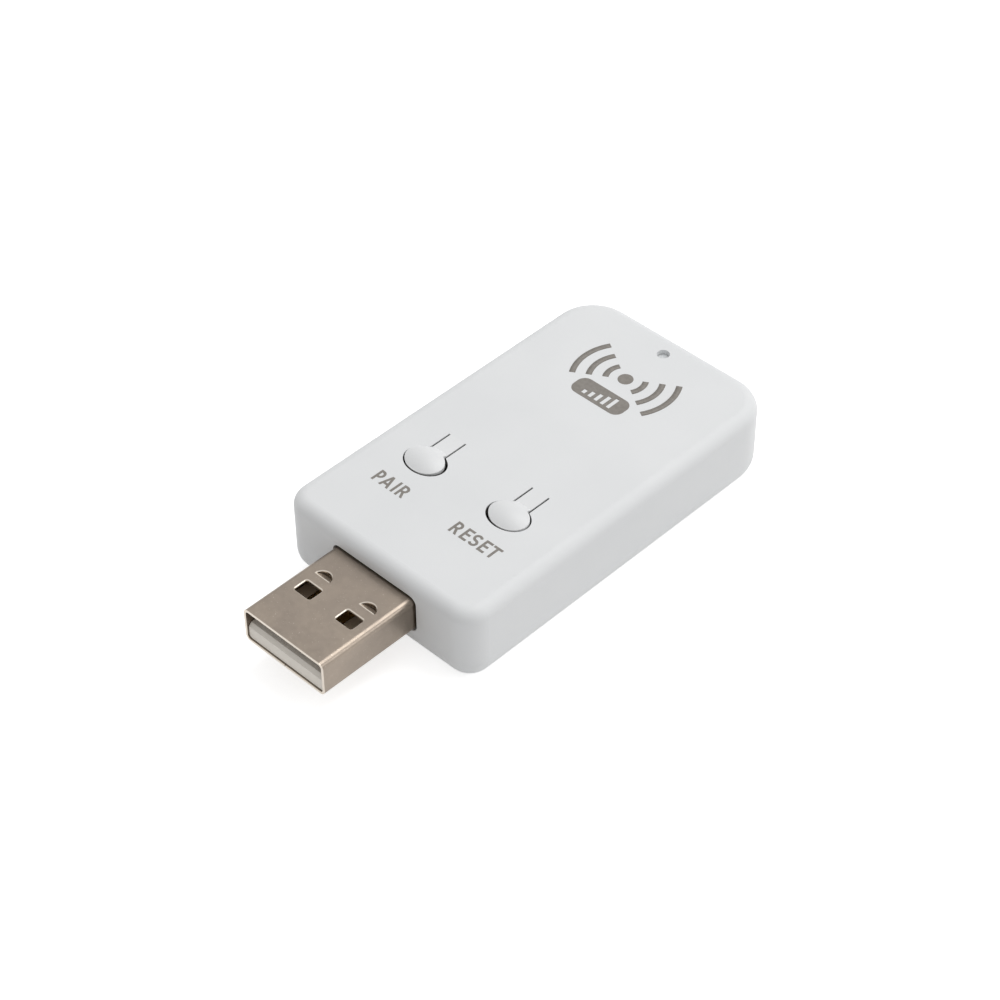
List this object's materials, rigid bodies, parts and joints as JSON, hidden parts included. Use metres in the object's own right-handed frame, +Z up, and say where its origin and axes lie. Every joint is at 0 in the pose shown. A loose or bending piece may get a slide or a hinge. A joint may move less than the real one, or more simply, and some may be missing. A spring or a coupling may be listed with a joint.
{
  "type": "usb wireless gateway dongle",
  "caption": "White plug-in wireless gateway: rounded slab housing with two sprung paddle buttons, a status light hole and a USB type A plug.",
  "frame": {"origin": "below the middle of the whole object, on the table", "axes": "+Z up, +Y from the plug's mouth to the far end of the housing, +X to the right seen from the plug"},
  "size_m": [0.0282, 0.0616, 0.0108],
  "materials": {
    "housing_white": "fine satin moulded surface",
    "plug_steel": "nickel plated, satin",
    "plug_plastic": "moulded",
    "gold_contact": "gold plated",
    "board_green": "solder mask",
    "switch_black": "moulded",
    "switch_stem": "moulded",
    "switch_steel": "plated sheet",
    "can_tin": "tin plated",
    "chip_black": "moulded epoxy",
    "fuse_green": "lacquered",
    "led_white": "clear resin",
    "guide_clear": "milky clear",
    "antenna_copper": "plated strip",
    "ceramic_tan": "ceramic",
    "resistor_black": "lacquered"
  },
  "bodies": {
    "housing": {"top_cover": "housing_white", "bottom_cover": "housing_white", "plug_shell": "plug_steel", "plug_insulator": "plug_plastic", "contact_power": "gold_contact", "contact_data_minus": "gold_contact", "contact_data_plus": "gold_contact", "contact_ground": "gold_contact", "circuit_board": "board_green", "pair_switch_base": "switch_black", "reset_switch_base": "switch_black", "pair_switch_cover": "switch_steel", "pair_switch_dome": "switch_steel", "reset_switch_cover": "switch_steel", "reset_switch_dome": "switch_steel", "shield_can": "can_tin", "crystal": "can_tin", "radio_chip": "chip_black", "flash_chip": "chip_black", "voltage_regulator": "chip_black", "inductor": "chip_black", "surge_diode": "chip_black", "fuse": "fuse_green", "status_led": "led_white", "light_guide": "guide_clear", "antenna": "antenna_copper", "capacitors": "ceramic_tan", "resistors": "resistor_black"},
    "pair_paddle": {"pair_button": "housing_white"},
    "pair_plunger": {"pair_switch_plunger": "switch_stem"},
    "reset_paddle": {"reset_button": "housing_white"},
    "reset_plunger": {"reset_switch_plunger": "switch_stem"}
  },
  "joints": [
    {"name": "pair_press", "type": "hinge", "parent": "housing", "child": "pair_paddle", "pos_m": [-0.00662, 0.0013, 0.0093], "axis": [1, 0, 0], "range_deg": [0, 3.2]},
    {"name": "pair_plunger_travel", "type": "slide", "parent": "housing", "child": "pair_plunger", "axis": [0, 0, -1], "range_m": [0, 0.000279], "stiffness_N_per_m": 2},
    {"name": "reset_press", "type": "hinge", "parent": "housing", "child": "reset_paddle", "pos_m": [0.00588, 0.0013, 0.0093], "axis": [1, 0, 0], "range_deg": [0, 3.2]},
    {"name": "reset_plunger_travel", "type": "slide", "parent": "housing", "child": "reset_plunger", "axis": [0, 0, -1], "range_m": [0, 0.000279], "stiffness_N_per_m": 2}
  ],
  "couplings": [
    {"joint": "pair_press", "follows": "pair_plunger_travel", "rad_per_m": 200},
    {"joint": "reset_press", "follows": "reset_plunger_travel", "rad_per_m": 200}
  ]
}
